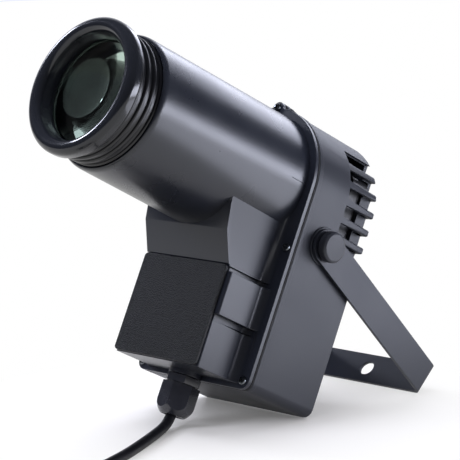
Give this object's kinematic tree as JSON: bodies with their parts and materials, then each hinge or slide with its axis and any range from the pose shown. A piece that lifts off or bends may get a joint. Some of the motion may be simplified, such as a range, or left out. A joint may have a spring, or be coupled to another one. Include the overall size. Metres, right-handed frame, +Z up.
{
  "type": "led pinspot light",
  "caption": "Tilted pinspot lamp with a ribbed focusing lens barrel on a finned housing, swinging yoke bracket clamped by thumb knobs, rear sockets and a coiled mains cord.",
  "frame": {"origin": "centre of the bounding box of the lamp and its bracket without the free cord, at the height of the floor on which the housing and the bracket rest", "axes": "+Z up, -Y the way the lens faces, +X the side of the lamp at the right of the picture"},
  "size_m": [0.1505, 0.4577, 0.2538],
  "materials": {
    "painted_shell": "satin",
    "grained_panel": "leather grain",
    "gloss_black": "gloss",
    "satin_black_plastic": "satin",
    "clear_glass": "polished",
    "smoked_window": "polished",
    "aluminium": "machined",
    "zinc_plated_steel": "zinc plated",
    "brass": "turned",
    "rubber": "matt",
    "cord_jacket": "matt",
    "emitter": "phosphor under a clear dome",
    "circuit_board": "solder mask",
    "component_black": "moulded"
  },
  "bodies": {
    "housing": {"collimator_holder": "satin_black_plastic", "collimator_lens": "clear_glass", "control_board": "circuit_board", "control_panel": "painted_shell", "cord_coil": "cord_jacket", "cord_tie_1": "satin_black_plastic", "cord_tie_2": "satin_black_plastic", "display_window": "smoked_window", "driver_board": "circuit_board", "driver_capacitor_1": "aluminium", "driver_capacitor_2": "aluminium", "driver_transformer": "component_black", "fan_frame": "satin_black_plastic", "front_panel": "grained_panel", "front_shell": "painted_shell", "gland_body": "satin_black_plastic", "gland_locknut": "satin_black_plastic", "gland_nut": "satin_black_plastic", "gland_seal": "rubber", "heat_sink": "aluminium", "heat_sink_screw_1": "zinc_plated_steel", "heat_sink_screw_2": "zinc_plated_steel", "heat_sink_screw_3": "zinc_plated_steel", "housing_screw_1": "zinc_plated_steel", "housing_screw_2": "zinc_plated_steel", "housing_screw_3": "zinc_plated_steel", "housing_screw_4": "zinc_plated_steel", "housing_screw_5": "zinc_plated_steel", "led_board": "aluminium", "led_emitter": "emitter", "left_insert": "brass", "plug_body": "cord_jacket", "plug_contacts": "brass", "power_cord": "cord_jacket", "rear_shell": "painted_shell", "right_insert": "brass", "seam_gasket": "rubber", "signal_in_contacts": "brass", "signal_in_socket": "gloss_black", "signal_out_socket": "gloss_black"},
    "bracket": {"bracket": "painted_shell"},
    "focus_slide": {"focus_seal": "rubber"},
    "focus_tube": {"lens_tube": "satin_black_plastic", "lens_bezel": "gloss_black", "lens": "clear_glass", "lens_retainer": "satin_black_plastic"},
    "fan": {"fan_rotor": "satin_black_plastic"},
    "left_washer_body": {"left_washer": "zinc_plated_steel"},
    "left_knob_body": {"left_knob": "satin_black_plastic", "left_stud": "zinc_plated_steel"},
    "right_washer_body": {"right_washer": "zinc_plated_steel"},
    "right_knob_body": {"right_knob": "satin_black_plastic", "right_stud": "zinc_plated_steel"},
    "menu_press": {"menu_button": "rubber"},
    "down_press": {"down_button": "rubber"},
    "up_press": {"up_button": "rubber"},
    "enter_press": {"enter_button": "rubber"}
  },
  "joints": [
    {"name": "bracket_swing", "type": "hinge", "parent": "housing", "child": "bracket", "pos_m": [0, 0.03402, 0.10756], "axis": [1, 0, 0], "range_deg": [-60, 150]},
    {"name": "focus_travel", "type": "slide", "parent": "housing", "child": "focus_slide", "axis": [0, -0.8957, 0.4446], "range_m": [-0.01085, 0.00545]},
    {"name": "focus_turn", "type": "hinge", "parent": "focus_slide", "child": "focus_tube", "pos_m": [0, -0.07119, 0.19272], "axis": [0, -0.8957, 0.4446], "range_deg": [-720, 360]},
    {"name": "fan_spin", "type": "hinge", "parent": "housing", "child": "fan", "pos_m": [0, 0.06139, 0.10871], "axis": [0, -0.8957, 0.4446], "continuous": true},
    {"name": "left_washer_travel", "type": "slide", "parent": "housing", "child": "left_washer_body", "axis": [1, 0, 0], "range_m": [-0.00005, 0.00165]},
    {"name": "left_knob_turn", "type": "hinge", "parent": "left_washer_body", "child": "left_knob_body", "pos_m": [0.0574, 0.03402, 0.10756], "axis": [1, 0, 0], "range_deg": [0, 720]},
    {"name": "right_washer_travel", "type": "slide", "parent": "housing", "child": "right_washer_body", "axis": [-1, 0, 0], "range_m": [-0.00005, 0.00165]},
    {"name": "right_knob_turn", "type": "hinge", "parent": "right_washer_body", "child": "right_knob_body", "pos_m": [-0.0574, 0.03402, 0.10756], "axis": [-1, 0, 0], "range_deg": [0, 720]},
    {"name": "menu_push", "type": "slide", "parent": "housing", "child": "menu_press", "axis": [0, -0.8957, 0.4446], "range_m": [0, 0.0006], "stiffness_N_per_m": 800, "springref_m": -0.0004},
    {"name": "down_push", "type": "slide", "parent": "housing", "child": "down_press", "axis": [0, -0.8957, 0.4446], "range_m": [0, 0.0006], "stiffness_N_per_m": 800, "springref_m": -0.0004},
    {"name": "up_push", "type": "slide", "parent": "housing", "child": "up_press", "axis": [0, -0.8957, 0.4446], "range_m": [0, 0.0006], "stiffness_N_per_m": 800, "springref_m": -0.0004},
    {"name": "enter_push", "type": "slide", "parent": "housing", "child": "enter_press", "axis": [0, -0.8957, 0.4446], "range_m": [0, 0.0006], "stiffness_N_per_m": 800, "springref_m": -0.0004}
  ],
  "couplings": [
    {"joint": "focus_travel", "follows": "focus_turn", "m_per_rad": 0.00085944},
    {"joint": "left_washer_travel", "follows": "left_knob_turn", "m_per_rad": 0.00012732},
    {"joint": "right_washer_travel", "follows": "right_knob_turn", "m_per_rad": 0.00012732}
  ]
}
